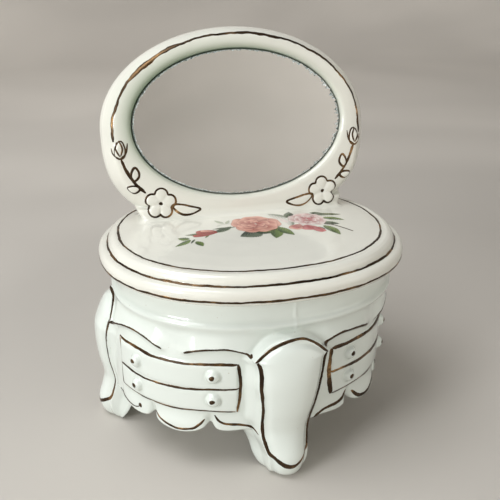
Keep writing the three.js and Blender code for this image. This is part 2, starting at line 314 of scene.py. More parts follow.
WALL_PROFILE = [
    (APRON_Z - 2.5, WALL_R - 0.9), (APRON_Z + 2.5, WALL_R - 0.5), (28, WALL_R - 0.1),
    (36, WALL_R), (46, WALL_R), (52, WALL_R - 0.1), (58, WALL_R - 0.8),
    (RIDGE_Z - 1, NECK_R + 0.7), (RIDGE_Z, NECK_R + 0.2), (RIDGE_Z + 1.2, NECK_R - 0.9),
    (RIDGE_Z + 4.5, NECK_R - 1.2), (BODY_TOP - 1.2, NECK_R - 0.6),
]


UNDERSIDE = [(20, FLOOR_UNDER), (WALL_R - 8.5, FLOOR_UNDER), (WALL_R - 5.2, FLOOR_UNDER - 0.4)]
APRON_LIP = [(-3.4, 0.25), (-2, 0), (-1, 0.3), (-0.35, 0.9)]  # inset, lift
RIM_AND_INSIDE = [
    (NECK_R - 0.9, BODY_TOP - 0.35), (NECK_R - 1.6, BODY_TOP), (CAVITY_R + 1, BODY_TOP),
    (CAVITY_R + 0.2, BODY_TOP - 0.8), (CAVITY_R, BODY_TOP - 4), (CAVITY_R, RIDGE_Z),
    (CAVITY_R, ASKEW_FULL_Z), (CAVITY_R, FLOOR_Z + 5), (CAVITY_R - 1.4, FLOOR_Z + 1.6),
    (CAVITY_R - 5, FLOOR_Z), (20, FLOOR_Z),
]
SEAM_AT = 2.6  # degrees round from the front and back legs
SEAM_PROUD = 0.4


def base_shell():
    degrees = np.arange(900) * 360 / 900
    p = panel_angle(degrees)
    low = through(APRON_EDGE, p)
    seam = SEAM_PROUD * bell(degrees % 180.0 - SEAM_AT, 0.35)
    rings = [oval_ring(degrees, r, z) for r, z in UNDERSIDE]
    rings.append(oval_ring(degrees, WALL_R - 4.6, np.minimum(low + 1.2, FLOOR_UNDER - 0.5)))
    for inset, lift in APRON_LIP:
        rings.append(oval_ring(degrees, WALL_R, low + lift, wall_relief(p, low + lift) + inset))
    for t in np.linspace(0, 1, 130):
        z = (low + 1.8) * (1 - t) + (BODY_TOP - 1.2) * t
        ring = oval_ring(degrees, WALL_R, z, wall_relief(p, z) + seam * smooth_step(54, 58, z))
        ring[:, :2] *= (through(WALL_PROFILE, z) / WALL_R)[:, None]
        rings.append(ring)
    rings += [oval_ring(degrees, r, z) for r, z in RIM_AND_INSIDE]
    return loft(askew(rings))


# ---- legs ---------------------------------------------------------------
LEG_EAR_Z = 50.3
LEG_TOP_Z = 58.3
EAR_HALF = 14.1  # half width at the ears
LEG_HALF = [(0, 6.4), (3, 7.2), (5.5, 7.6), (9, 8), (13, 8.4), (17, 8.8), (22, 9.4), (28, 10),
            (34, 10.7), (40, 11.5), (45, 12.4), (48.5, 13.3), (LEG_EAR_Z, EAR_HALF)]
LEG_ARCH = [(-EAR_HALF, LEG_EAR_Z), (-10.6, 52.6), (-6.9, 55), (-3.2, 56.7), (0, 57.7),
            (3.2, 57.3), (6.6, 56.2), (10.2, 54), (EAR_HALF, LEG_EAR_Z)]
LEG_CROWN = [(0, 2), (1.2, 4.1), (3.5, 5.5), (6.5, 6.2), (10, 6), (14, 4.7), (19.5, 3.4),
             (24, 3.9), (29, 5), (35, 5.7), (41.5, 5.9), (47, 5.3), (52, 4.2), (58.3, 2.4)]
LEG_REAR_HALF = [(0, 7.8), (2, 9.6), (4.5, 10.8), (7, 11.4), (10, 11.8), (13, 12.2), (17, 13.4),
                 (22, 13.6), (30, 13.6), (40, 14.4), (47, 15.8), (LEG_EAR_Z, 16.6), (58.3, 8)]
LEG_REAR = [(0, -2), (2, -3.2), (4.5, -4.6), (7, -5.9), (10, -7.2), (13, -8.2), (17, -8.6),
            (20, -6), (24, -2.4), (30, -2), (58.3, -2)]


def arch_half(z):
    t = np.clip((z - LEG_EAR_Z) / (LEG_TOP_Z - LEG_EAR_Z), 0, 1)
    return EAR_HALF * (1 - t) ** 0.62 * (1 + 0.18 * t) + 0.3


def leg_half(z):
    return np.where(z <= LEG_EAR_Z, through(LEG_HALF, np.minimum(z, LEG_EAR_Z)), arch_half(z))


FOOT_LEAN = 1.5  # the front leg's foot stands a little to the left
LEG_EXTRA = {0.0: 3.6, 180.0: 3.6}  # the front and back legs stand further out
SIDE_EXTRA = -0.7


EDGE_ROUNDING = 0.55  # larger leaves a sharper corner between a face's two edges


def leg_face(s, z, extra=0.0):
    """How far proud the face is at s, -1 to 1 across, and height z."""
    half = leg_half(z)
    below_top = np.clip((LEG_TOP_Z - z) * 0.75, 0, 99)
    sideways = (1 - np.abs(s)) * half
    from_edge = -np.logaddexp(-EDGE_ROUNDING * sideways, -EDGE_ROUNDING * below_top) / EDGE_ROUNDING
    groove = 0.5 * bell(from_edge - 1.7, 0.9)
    inward = np.clip((from_edge - 1.5) / (0.8 * half), 0, 1)
    pillow = 2.1 * np.sqrt(1 - (1 - inward) ** 2 + 0.01) - 0.2
    lift = extra * smooth_step(-3, 2, z)
    return through(LEG_CROWN, z) - 2.6 * s**2 - 0.8 + pillow - groove + lift


def leg_root(degrees):
    """Where a leg meets the wall, with its directions across and outwards."""
    ring = oval_ring(np.array([degrees]), WALL_R, 0.0)[0]
    out = oval_ring(np.array([degrees]), WALL_R, 0.0, 1.0)[0] - ring
    return ring, np.array([-out[1], out[0], 0.0]), out


def on_leg(across, proud, z, degrees):
    root, side, out = leg_root(degrees)
    across, proud, z = np.broadcast_arrays(across, proud, z)
    if degrees == 0.0:
        fuller = 1 + 0.17 * smooth_step(8, 18, z) * smooth_step(50, 38, z)
        across = np.where(across < 0, across * fuller, across) - FOOT_LEAN * smooth_step(40, 12, z)
    place = root + across[..., None] * side + proud[..., None] * out
    place[..., 2] = z
    return askew(place)


def leg_solid(degrees):
    rows = []
    s = np.linspace(-1, 1, 61)
    for z in [*np.linspace(0, LEG_TOP_Z - 0.6, 118), LEG_TOP_Z]:
        half = float(leg_half(z))
        rear_half = max(float(through(LEG_REAR_HALF, z)), half * 0.8)
        rear = float(through(LEG_REAR, z))
        face = np.stack([s * half, leg_face(s, z, LEG_EXTRA.get(degrees, SIDE_EXTRA))], 1)
        edge = face[-1, 1]
        right = np.array([
            [half + 0.15, edge - 0.9],
            [half * 0.55 + rear_half * 0.45 - 0.6, edge * 0.55 + rear * 0.45],
            [half * 0.2 + rear_half * 0.8, edge * 0.2 + rear * 0.8],
            [rear_half, rear],
        ])
        back = np.stack([np.linspace(rear_half, -rear_half, 9)[1:-1], np.full(7, rear)], 1)
        outline = np.vstack([face, right, back, right[::-1] * [-1, 1]])
        rows.append(on_leg(outline[:, 0], outline[:, 1], z, degrees))
    return loft(rows)


FRONT_REACH = WALL_R * ASPECT
LEGS = (0.0, SIDE_LEG, 180.0, -SIDE_LEG)


# ---- lid and mirror frame ----------------------------------------------
LID_UNDER = [  # step in from the cavity's wall, height above the seat
    (12, 6.2), (5.2, 1.5), (4, -1), (4, -4.4), (3.3, -5), (1.8, -5), (1.1, -4.3), (1, 0),
]
LID_OUTSIDE = [  # step in from the lid's edge, height above the seat
    (2.6, 0), (1.3, 0.15), (0.6, 0.8), (0.18, 1.8), (0.02, 3), (0, 4), (0.35, 5), (1.2, 5.9),
    (2.5, 6.35), (3.5, 6.3), (3.95, 6.7), (4, 7.6), (4.5, 8.9), (5.6, 9.9), (7, 10.35),
    (7.9, 10.25), (8.6, 10.3), (13, 10.75), (22, 11.25), (35, 11.6), (A - 8, 11.8),
]
LID_PROFILE = [(6.0, SEAT_Z + 7.4)]
LID_PROFILE += [(CAVITY_R - step, SEAT_Z + rise) for step, rise in LID_UNDER]
LID_PROFILE += [(A - step, SEAT_Z + rise) for step, rise in LID_OUTSIDE]
FRAME_HALF = (57.2, 40.5)
FACE_HALF = (52.5, 37.2)  # of the frame's flat face, in its upper half
FOOT_FILLET = 4.5


def frame_foot_distance(x, y):
    """Distance on the lid's top from the foot of the mirror frame."""
    return np.hypot(np.maximum(np.abs(x) - 41.5, 0), np.maximum(np.abs(y - 17.5) - 4.6, 0))


def lid_cover():
    degrees = np.arange(720) / 2
    profile = []
    for (r0, z0), (r1, z1) in zip(LID_PROFILE, LID_PROFILE[1:]):
        steps = max(1, int(math.hypot(r1 - r0, z1 - z0) / 0.9))
        for k in range(steps):
            t = k / steps
            profile.append((r0 + (r1 - r0) * t, z0 + (z1 - z0) * t))
    profile.append(LID_PROFILE[-1])
    rings = []
    for r, z in profile:
        ring = oval_ring(degrees, r, z)
        if z > SEAT_Z + 9.0:
            d = frame_foot_distance(ring[:, 0], ring[:, 1])
            near = np.clip(FOOT_FILLET - d, 0, FOOT_FILLET)
            ring[:, 2] += FOOT_FILLET - np.sqrt(FOOT_FILLET**2 - near**2)
        rings.append(ring)
    return loft(rings)


def on_mirror(u, w, d):
    u, w, d = np.broadcast_arrays(np.asarray(u, float), w, d)
    return MIRROR_MID + u[..., None] * U_AXIS + w[..., None] * W_AXIS + d[..., None] * D_AXIS


def frame_outline(t, inset=0.0):
    """Outer edge of the frame at angle t from the top, fuller below."""
    e = np.where(np.cos(t) < 0, 2 / 2.8, 1.0)
    u = (FRAME_HALF[0] - inset) * signed_power(np.sin(t), e)
    w = (FRAME_HALF[1] - inset) * signed_power(np.cos(t), e)
    return np.stack([u, w], -1)


def ellipse(t, half, rise=0.0):
    """Points of an ellipse of the mirror plane at angles from its top."""
    return np.stack([half[0] * np.sin(t), half[1] * np.cos(t) + rise], -1)


def frame_gold_edge(t):
    """Edge between the frame's flat face and its bevel."""
    mix = smooth_step(0.25, -0.45, np.cos(t))[..., None]
    return ellipse(t, FACE_HALF) * (1 - mix) + frame_outline(t, 3.6) * mix


def seat_edge(t, grow=0.0):
    return ellipse(t, (SEAT_HALF[0] + grow, SEAT_HALF[1] + grow), GLASS_RAISE)


FRAME_SECTION = [
    # share from the seat to the face's edge, share on to the outline, depth
    (0, 0, -3.4, 0), (0, 0, -1, 0), (0, 0, 0.1, 0.15), (0, 0, 0.8, 0.6),
    (0, 0, 1.3, 1.3), (0, 0, 1.55, 2.2), (0.5, 0, 1.45, 0.8), (0.75, 0, 1.2, 0.2),
    (0.93, 0, 0.9, 0), (1, 0, 0.55, 0), (1, 0.14, 0, 0), (1, 0.34, -1, 0),
    (1, 0.6, -2.6, 0), (1, 0.82, -4.3, 0), (1, 0.95, -6, 0), (1, 1, -7.4, 0),
    (1, 0.9, -8.7, 0), (1, 0.6, -9.3, 0), (1, 0, -9.6, 0), (0.3, 0, -9.8, 0),
]


def mirror_frame():
    t = np.arange(480) * 2 * np.pi / 480
    edge, outer = frame_gold_edge(t), frame_outline(t)
    rings = [on_mirror(np.sin(t) * 10, np.cos(t) * 8, -3.4)]
    for along, beyond, d, grow in FRAME_SECTION:
        inner = seat_edge(t, grow)
        uv = inner * (1 - along) + edge * along if beyond == 0 else edge + (outer - edge) * beyond
        rings.append(on_mirror(uv[:, 0], uv[:, 1], d))
    rings.append(on_mirror(np.sin(t) * 10, np.cos(t) * 8, -10.0))
    return loft(rings[::-1])


FRAME_FOOT = [  # height, half length, front, back
    (-40.5, 44, 2.4, -10.4), (-38, 43.4, 1.9, -9.9), (-35.5, 43.6, 1.4, -9.6),
    (-32.6, 45, 1.2, -9.3), (-31, 45.4, -3.8, -9.2), (-24, 47.5, -4.4, -8.6),
]
FOOT_CORNERS = 0.35  # smaller is squarer


def frame_foot():
    """Block that carries the frame on the lid, waisted above the lid's top."""
    turn = np.linspace(0, 2 * np.pi, 96, endpoint=False)
    across = signed_power(np.cos(turn), FOOT_CORNERS)
    through_it = signed_power(np.sin(turn), FOOT_CORNERS)
    rings = []
    for w, half, front, back in FRAME_FOOT:
        d = (front + back) / 2 + (front - back) / 2 * through_it
        rings.append(on_mirror(half * across, w, d))
    return loft(rings)


# ---- moulded flower sprays on the frame ---------------------------------
# Right-hand spray in (u, w) of the mirror plane; the left one mirrors it.
BUD = (50.3, -7.2)
STEM = [(50.2, -10.8), (48.2, -16), (45.3, -21), (41.3, -25.3)]
FLOWER = (35.4, -30.0)
FLOWER_REACH = 6.3
PETALS = 5
FIRST_PETAL = math.radians(96)
LEAVES = [  # base, tip, half width, bend
    ((45.6, -20.2), (44.9, -14.4), 1.7, 0.3),
    ((43.4, -23.6), (48.6, -22.6), 1.5, -0.4),
]
LONG_LEAF = ((31.0, -31.2), (18.6, -33.6), 2.0, 1.2)


def leaf_outline(base, tip, half, bend, count=28):
    """Closed outline of a leaf: a lens between its base and tip, bent sideways."""
    base, tip = np.array(base), np.array(tip)
    along = tip - base
    side = np.array([-along[1], along[0]]) / np.hypot(*along)
    t = np.linspace(0, 1, count)
    width = half * np.sin(np.pi * t**0.85) ** 0.8
    spine = base + along * t[:, None] + side * (bend * np.sin(np.pi * t))[:, None]
    return np.vstack([spine + side * width[:, None], (spine - side * width[:, None])[::-1]])


def placed(centre, turn, along, across):
    """Points given along and across a direction, turned and moved to a centre."""
    c, s = math.cos(turn), math.sin(turn)
    return np.stack([centre[0] + along * c - across * s, centre[1] + along * s + across * c], 1)


def petal_outline(centre, turn, reach, half, count=24):
    """Closed outline of one rounded petal."""
    t = np.linspace(0, 2 * np.pi, count, endpoint=False)
    fill = 0.5 - 0.5 * np.cos(t)
    return placed(centre, turn, reach * fill**0.9 + 0.6, half * np.sin(t) * (0.55 + 0.45 * fill))


def flower_outline(centre, reach, count=100):
    """Outer line of a flower with five round petals."""
    t = np.linspace(0, 2 * np.pi, count, endpoint=False)
    lobe = np.abs(np.cos(PETALS / 2 * (t - FIRST_PETAL))) ** 0.55
    r = reach * (0.62 + 0.38 * lobe)
    return placed(centre, 0.0, r * np.cos(t), r * np.sin(t))


def bud_outline(centre, lean):
    t = np.linspace(0, 2 * np.pi, 30, endpoint=False)
    across = 2.1 * np.sin(t) * (1 - 0.28 * np.cos(t + np.pi))
    return placed(centre, lean, across, 3.7 * -np.cos(t))


def pillow(outline, side, height, base=1.0):
    """Low rounded relief over an outline of the mirror plane."""
    outline = np.asarray(outline)
    middle = outline.mean(0)
    rings = []
    for share, lift in ((1.0, base - 1.2), (1.0, base), (0.93, base + height * 0.5),
                        (0.75, base + height * 0.85), (0.4, base + height)):
        uv = middle + (outline - middle) * share
        rings.append(on_mirror(uv[:, 0] * side, uv[:, 1], lift))
    return loft(rings)


def spray_shapes():
    shapes = [(bud_outline(BUD, 0.1), 1.3)]
    for leaf in LEAVES + [LONG_LEAF]:
        shapes.append((leaf_outline(*leaf), 0.75))
    for k in range(PETALS):
        turn = FIRST_PETAL + k * 2 * math.pi / PETALS
        shapes.append((petal_outline(FLOWER, turn, FLOWER_REACH - 0.7, 2.75), 0.8))
    return shapes


def spray_solids():
    return [pillow(outline, side, height) for side in (1, -1) for outline, height in spray_shapes()]


# ---- materials ----------------------------------------------------------
def node_material(name):
    mat = bpy.data.materials.new(name)
    mat.use_nodes = True
    return mat, mat.node_tree


def dressed(mat, **inputs):
    """Sets or links inputs of the material's shader; _ stands for a space."""
    for key, value in inputs.items():
        socket = mat.node_tree.nodes["Principled BSDF"].inputs[key.replace("_", " ")]
        if isinstance(value, float):
            socket.default_value = value
        else:
            mat.node_tree.links.new(value, socket)
    return mat


def add_node(tree, kind, **settings):
    node = tree.nodes.new(kind)
    for key, value in settings.items():
        if key in node.inputs:
            node.inputs[key].default_value = value
        else:
            setattr(node, key, value)
    return node


def noise(tree, scale, detail=3.0, roughness=0.5, distortion=0.0):
    coord = add_node(tree, "ShaderNodeTexCoord")
    node = add_node(tree, "ShaderNodeTexNoise", Scale=scale, Detail=detail,
                    Roughness=roughness, Distortion=distortion)
    tree.links.new(coord.outputs["Object"], node.inputs["Vector"])
    return node.outputs["Fac"]


def ramp(tree, factor, stops):
    node = add_node(tree, "ShaderNodeValToRGB")
    elements = node.color_ramp.elements
    while len(elements) < len(stops):
        elements.new(0.5)
    for element, (at, color) in zip(elements, stops):
        element.position = at
        element.color = (*color, 1.0)
    tree.links.new(factor, node.inputs["Fac"])
    return node.outputs["Color"]


def grey_ramp(tree, factor, *stops):
    return ramp(tree, factor, [(at, (level,) * 3) for at, level in stops])


def mix_color(tree, factor, first, second, blend="MIX"):
    node = add_node(tree, "ShaderNodeMix", data_type="RGBA", blend_type=blend)
    for socket, value in ((node.inputs[0], factor), (node.inputs[6], first), (node.inputs[7], second)):
        if isinstance(value, (int, float)):
            socket.default_value = value
        elif isinstance(value, tuple):
            socket.default_value = (*value, 1.0)
        else:
            tree.links.new(value, socket)
    return node.outputs[2]


def bump(tree, height, strength, distance):
    node = add_node(tree, "ShaderNodeBump", Strength=strength, Distance=distance)
    tree.links.new(height, node.inputs["Height"])
    return node.outputs["Normal"]


PORCELAIN = (0.775, 0.83, 0.785)
CREAM = (0.81, 0.805, 0.735)
# dark green of pooled glaze, also used as painted shade in hollows and round the mirror's seat
POOL_AND_SHADE_GREEN = (0.27, 0.36, 0.25)
SPECK = (0.42, 0.36, 0.26)


def porcelain_material(name, color):
    """Glossy off-white glaze; a vertex value mixes in dark green: pooled glaze, partly painted shade in
    hollows and round the mirror's seat.
    """
    mat, tree = node_material(name)
    tones = [tuple(c * share for c in color) for share in (0.96, 1.0, 1.02)]
    body = ramp(tree, noise(tree, 38.0, 3.0, 0.5), list(zip((0.3, 0.55, 0.8), tones)))
    pool_and_shade = add_node(tree, "ShaderNodeAttribute", attribute_name="pool_and_shade")
    body = mix_color(tree, pool_and_shade.outputs["Fac"], body, POOL_AND_SHADE_GREEN)
    specks = grey_ramp(tree, noise(tree, 900.0, 1.0, 0.4), (0.78, 0.0), (0.83, 0.5))
    return dressed(
        mat,
        Base_Color=mix_color(tree, specks, body, SPECK),
        Roughness=grey_ramp(tree, noise(tree, 120.0, 2.0), (0.3, 0.16), (0.8, 0.26)),
        IOR=1.5,
        Coat_Weight=0.6,
        Coat_Roughness=0.04,
        Normal=bump(tree, noise(tree, 260.0, 2.0, 0.45), 0.12, 0.00035),
    )


def gold_material(name):
    """Hand-painted fired gold: darkened to brown as a painted reflection of dark surroundings, partly
    real thin worn gold, with bright patches as painted glints.
    """
    mat, tree = node_material(name)
    return dressed(
        mat,
        # near-black brown to bright gold patches: painted reflection and painted glints, partly real
        # wear
        Base_Color=ramp(tree, noise(tree, 95.0, 4.0, 0.6, 0.6), [
            (0.34, (0.035, 0.022, 0.013)), (0.54, (0.085, 0.052, 0.028)),
            (0.66, (0.26, 0.15, 0.065)), (0.80, (0.80, 0.50, 0.26))]),
        Metallic=0.85,
        Roughness=grey_ramp(tree, noise(tree, 210.0, 2.0), (0.3, 0.22), (0.75, 0.46)),
        Normal=bump(tree, noise(tree, 900.0, 2.0), 0.25, 0.0002),
    )


def mirror_material(name):
    mat, tree = node_material(name)
    return dressed(
        mat,
        Base_Color=ramp(tree, noise(tree, 30.0, 2.0), [
            (0.3, (0.70, 0.69, 0.67)), (0.8, (0.76, 0.75, 0.735))]),
        Metallic=1.0,
        Roughness=grey_ramp(tree, noise(tree, 70.0, 2.0), (0.3, 0.03), (0.8, 0.06)),
    )


def chipped_material(name):
    """Broken silvered edge of the mirror: flakes painted bright near-white as a painted glint of the
    silver, over dark green glass.
    """
    mat, tree = node_material(name)
    flake = noise(tree, 900.0, 3.0, 0.7, 0.5)
    return dressed(
        mat,
        # the bright stops are painted glints of the silver flakes
        Base_Color=ramp(tree, flake, [
            (0.36, (0.10, 0.14, 0.13)), (0.45, (0.42, 0.49, 0.49)),
            (0.53, (0.85, 0.90, 0.91)), (0.8, (0.97, 0.98, 0.99))]),
        Metallic=0.12,
        Roughness=grey_ramp(tree, flake, (0.3, 0.5), (0.8, 0.2)),
        Normal=bump(tree, flake, 0.7, 0.0006),
    )


def glue_material(name):
    mat, tree = node_material(name)
    return dressed(
        mat,
        Base_Color=ramp(tree, noise(tree, 160.0), [
            (0.3, (0.42, 0.38, 0.26)), (0.8, (0.60, 0.55, 0.42))]),
        Roughness=grey_ramp(tree, noise(tree, 300.0), (0.3, 0.45), (0.8, 0.65)),
        Normal=bump(tree, noise(tree, 400.0), 0.4, 0.0004),
    )


def decal_material(name):
    """Printed flowers under the glaze: the colours are painted on the mesh."""
    mat, tree = node_material(name)
    ink = add_node(tree, "ShaderNodeAttribute", attribute_name="ink")
    shade = grey_ramp(tree, noise(tree, 2200.0, 2.0, 0.6), (0.3, 0.86), (0.7, 1.0))
    return dressed(
        mat,
        Base_Color=mix_color(tree, 1.0, ink.outputs["Color"], shade, "MULTIPLY"),
        Roughness=grey_ramp(tree, noise(tree, 160.0), (0.3, 0.17), (0.8, 0.27)),
        Coat_Weight=0.4,
        Coat_Roughness=0.04,
    )


def stage_material(name, color):
    mat, tree = node_material(name)
    # Soft patches 20% darker: painted shade on the floor and wall, which the mirror reflects.
    dark = tuple(c * 0.80 for c in color)
    tone = ramp(tree, noise(tree, 1.6, 2.0, 0.5, 0.8), [(0.38, dark), (0.62, color)])
    return dressed(mat, Base_Color=tone, Roughness=0.85)


base_glaze = porcelain_material("porcelain_base_glaze", PORCELAIN)
lid_glaze = porcelain_material("porcelain_lid_glaze", CREAM)
gold = gold_material("fired_gold_painted_glints")


def set_pool_and_shade(obj, values):
    layer = obj.data.attributes.new("pool_and_shade", "FLOAT", "POINT")
    layer.data.foreach_set("value", np.clip(values, 0, 1).astype(np.float32))


# ---- castings -----------------------------------------------------------
VOXEL = 0.42

base = fused("base_porcelain", [base_shell()] + [leg_solid(degrees) for degrees in LEGS], 5, base_glaze)
lid_solids = [lid_cover(), mirror_frame(), frame_foot()] + spray_solids()
lid = fused("lid_porcelain", lid_solids, 3, lid_glaze)
HOLLOW_SHADE = 1.3  # how strongly painted shade, with pooled glaze, darkens the hollows


def hollows(obj, passes=14):
    """How hollow the surface is at each point, smoothed, about 0 to 1."""
    mesh = obj.data
    count = len(mesh.vertices)
    co = mesh_points(obj)
    normal = np.empty(count * 3)
    mesh.vertex_normals.foreach_get("vector", normal)
    edges = np.empty(len(mesh.edges) * 2, dtype=np.int64)
    mesh.edges.foreach_get("vertices", edges)
    first, second = edges.reshape(-1, 2).T
    degree = np.bincount(edges, minlength=count)

    def around(values):
        total = np.bincount(first, values[second], count) + np.bincount(second, values[first], count)
        return total / degree

    lap = np.stack([around(co[:, axis]) for axis in range(3)], 1) - co
    value = (lap * normal.reshape(-1, 3)).sum(1)
    for _ in range(passes):
        value = 0.5 * value + 0.5 * around(value)
    return value / (VOXEL**2)


def paint_lid_pool_and_shade():
    """Pooled glaze with painted shade round the mirror's seat, most at the upper left where the seat's
    wall shades the glass.
    """
    rel = mesh_points(lid) - MIRROR_MID
    u, w, d = rel @ U_AXIS, rel @ W_AXIS, rel @ D_AXIS
    u, w = u / SEAT_HALF[0], (w - GLASS_RAISE) / SEAT_HALF[1]
    off = (np.hypot(u, w) - 1) * 37.0
    # Stronger and wider towards the upper left: painted shade of the seat's wall, with the light from
    # the upper left.
    lean = 0.5 + 0.5 * np.cos(np.arctan2(u, w) + 0.9)
    value = (0.22 + 0.95 * lean**1.5) * np.exp(-np.clip(off, 0, 99) / (0.9 + 2.4 * lean**2))
    inside = (d > -3.6) & (d < 4.0) & (off > -3.0) & (off < 12)
    # Outside the seat, painted shade with pooled glaze darkens the lid's hollows.
    set_pool_and_shade(lid, np.where(inside, value, HOLLOW_SHADE * hollows(lid)))


paint_lid_pool_and_shade()
# Painted shade, with pooled glaze, darkens the base's hollows.
set_pool_and_shade(base, HOLLOW_SHADE * hollows(base))
for piece, body, node, slot in ((base, "base", "base_box", "porcelain_base"),
                                (lid, "lid", "lid", "porcelain_lid")):
    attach(piece, body)
    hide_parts(node)

base_tree = surface_tree(base)
lid_tree = surface_tree(lid)


# ---- gold lines ---------------------------------------------------------
BRUSH = 1.12  # width of the brush against the line widths below
BRUSH_STEP = 0.45
RIBBON_SECTION = [  # share of the half width, height
    (-1, -0.05), (-0.8, 0.07), (-0.4, 0.13), (0, 0.15), (0.4, 0.13), (0.8, 0.07), (1, -0.05),
]
DOT_SECTION = [(1.0, -0.04), (0.9, 0.10), (0.6, 0.17), (0.02, 0.2)]  # share of the radius, height
RAY_LENGTH = 18.0
RAY_REACH = 5.0  # a hit further away than this is replaced by the nearest point


def smoothed(values, passes):
    for _ in range(passes):
        inner = (values[:-2] + 2 * values[1:-1] + values[2:]) / 4
        values = np.vstack([values[:1], inner, values[-1:]])
    return values


def drape(tree, points, rays):
    """Drops points onto a casting along their rays; returns places and normals."""
    places, normals = [], []
    for point, ray in zip(points, rays):
        point, ray = Vector(point), Vector(ray).normalized()
        hit, normal, _, _ = tree.ray_cast(point - ray * RAY_LENGTH / 2, ray, RAY_LENGTH)
        if hit is None or (hit - point).length > RAY_REACH:
            hit, normal, _, _ = tree.find_nearest(point)
        places.append(hit)
        normals.append(-normal if normal.dot(ray) > 0 else normal)
    return np.array(places), np.array(normals)


def lifted(tree, row, normals, lift):
    """The points of a row, brought to the casting's surface and raised by lift."""
    nearest = [tree.find_nearest(Vector(point))[0] for point in row]
    return np.array(nearest) + normals * lift


def ribbon(tree, path, width, seed, wobble=0.12, taper=True, closed=False, blots=()):
    """One brush line of gold on a casting, as a low domed ribbon."""
    points, rays = path
    length = np.linalg.norm(np.diff(points, axis=0), axis=1).sum()
    count = max(8, int(length / BRUSH_STEP))
    joined = resample(np.hstack([points, rays]), count)
    places, normals = drape(tree, joined[:, :3], joined[:, 3:])
    normals = smoothed(normals, 6)
    normals /= np.linalg.norm(normals, axis=1)[:, None]
    places = smoothed(places, 2)
    side = np.cross(normals, np.gradient(places, axis=0))
    side /= np.linalg.norm(side, axis=1)[:, None] + 1e-9
    at = np.linspace(0, length, count)
    uneven = 0.20 * soft_noise(at * 0.16, seed) + 0.10 * soft_noise(at * 0.9, seed + 1)
    widths = BRUSH * width * np.clip(1 + uneven, 0.62, 1.5)
    for where, reach, strength in blots:
        widths *= 1 + strength * bell(at - where, reach)
    if closed:
        blend_over = smooth_step(0, 6, at) * smooth_step(0, 6, length - at)
        widths = widths * blend_over + BRUSH * width * (1 - blend_over)
    if taper:
        widths *= 0.45 + 0.55 * smooth_step(-0.3, 1.8, np.minimum(at, length - at))
    shift = wobble * soft_noise(at * 0.35, seed + 2)
    rows = []
    for across, lift in RIBBON_SECTION:
        row = places + side * (across * widths / 2 + shift)[:, None]
        rows.append(lifted(tree, row, normals, lift))
    return np.array(rows).transpose(1, 0, 2)


def gold_piece(name, strips, body):
    verts, faces = [], []
    for rows in strips:
        start = len(verts)
        count, across, _ = rows.shape
        verts.extend(rows.reshape(-1, 3).tolist())
        i = np.arange(count - 1)[:, None] * across
        j = np.arange(across - 1)[None]
        quad = np.stack([i + j, i + j + 1, i + across + j + 1, i + across + j], -1).reshape(-1, 4)
        faces.extend((quad + start).tolist())
    piece = new_mesh(name, verts, faces, gold)
    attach(piece, body)


def dot(tree, point, ray, radius, stretch=1.0, seed=0):
    """A blob of gold, as rows that close on themselves."""
    places, normals = drape(tree, [point], [ray])
    side = np.cross([0, 0, 1.0], normals[0])
    side /= np.linalg.norm(side)
    up = np.cross(normals[0], side)
    turn = np.linspace(0, 2 * np.pi, 19)
    rim = radius * (1 + 0.12 * np.sin(2 * turn + seed) + 0.07 * np.sin(3 * turn + 2 * seed))
    round_it = np.outer(np.cos(turn) * rim * stretch, side) + np.outer(np.sin(turn) * rim, up)
    rows = [lifted(tree, places + round_it * share, normals, lift) for share, lift in DOT_SECTION]
    return np.array(rows).transpose(1, 0, 2)


def wall_path(points):
    """Points (degrees, height) on the wall, with rays into the box."""
    path = spline(points, 200) if len(points) > 2 else resample(points, 120)
    share = oval(path[:, 0])
    place = askew(np.stack([share[:, 0] * WALL_R, share[:, 1] * FRONT_REACH, path[:, 1]], 1))
    return place, np.hstack([-oval_normal(share), np.zeros((len(path), 1))])


def wall_point(degrees, z):
    place, rays = wall_path([(degrees, z), (degrees + 0.01, z)])
    return place[0], rays[0]


LEFT, RIGHT = PANEL[0], PANEL[1]
PANEL_LINES = [  # (degrees, height) points, width
    ([(p, z + 0.45) for p, z in BROWS[0]], 1.35),
    ([(p, z + 0.45) for p, z in BROWS[1]], 1.45),
    ([(LEFT, 46.9), (27, 46.9), (38, 46.5), (50, 46.6), (60, 47.1), (RIGHT + 1.5, 47.1)], 1.05),
    ([(LEFT - 0.2, 47), (LEFT - 0.9, 40), (LEFT - 0.6, 33), (LEFT + 0.2, 26.6)], 1.35),
    ([(LEFT + 0.8, 26.7), (30, 26.9), (42, 26.2), (55, 26.4), (RIGHT - 1, 26.9)], 0.95),
    ([(RIGHT + 1.6, 47), (RIGHT + 0.6, 40), (RIGHT - 1, 26.9)], 0.8),
    ([(LEFT - 0.6, 36.8), (28, 36.4), (42, 35.8), (55, 35.7), (RIGHT - 0.4, 36.4)], 0.95),
    ([(9, 17.6), (11.6, 19.8), (15, 21), (20, 21.3), (23, 22.4), (24.8, 24.8)], 1),
    ([(28.6, 22.8), (30.6, 20.6), (33.6, 18.7), (38.5, 17.9), (43, 18.6), (47, 20), (50.2, 22)], 1),
    ([(58.6, 21.4), (61.5, 19.9), (65, 19.6), (70, 20.2), (77.5, 20.6)], 0.6),
]


def panel_gold(angle_of, seed, weight):
    strips = []
    for number, (points, width) in enumerate(PANEL_LINES):
        path = wall_path([(angle_of(p), z) for p, z in points])
        strips.append(ribbon(base_tree, path, width * weight, seed + 7 * number))
    for number, (p, z) in enumerate(KNOBS):
        place, ray = wall_point(angle_of(p), z + 0.3)
        strips.append(dot(base_tree, place - ray * 2.0, ray, 1.0, 1.15, seed + number))
    place, ray = wall_point(angle_of(58.9), 21.6)
    strips.append(dot(base_tree, place, ray, 1.05, 0.8, seed + 9))
    return strips


LEG_BLOTS = [(2, 3.0, 0.5), (53, 5.0, 0.75), (98, 7.0, 0.35)]  # at mm, reach, strength


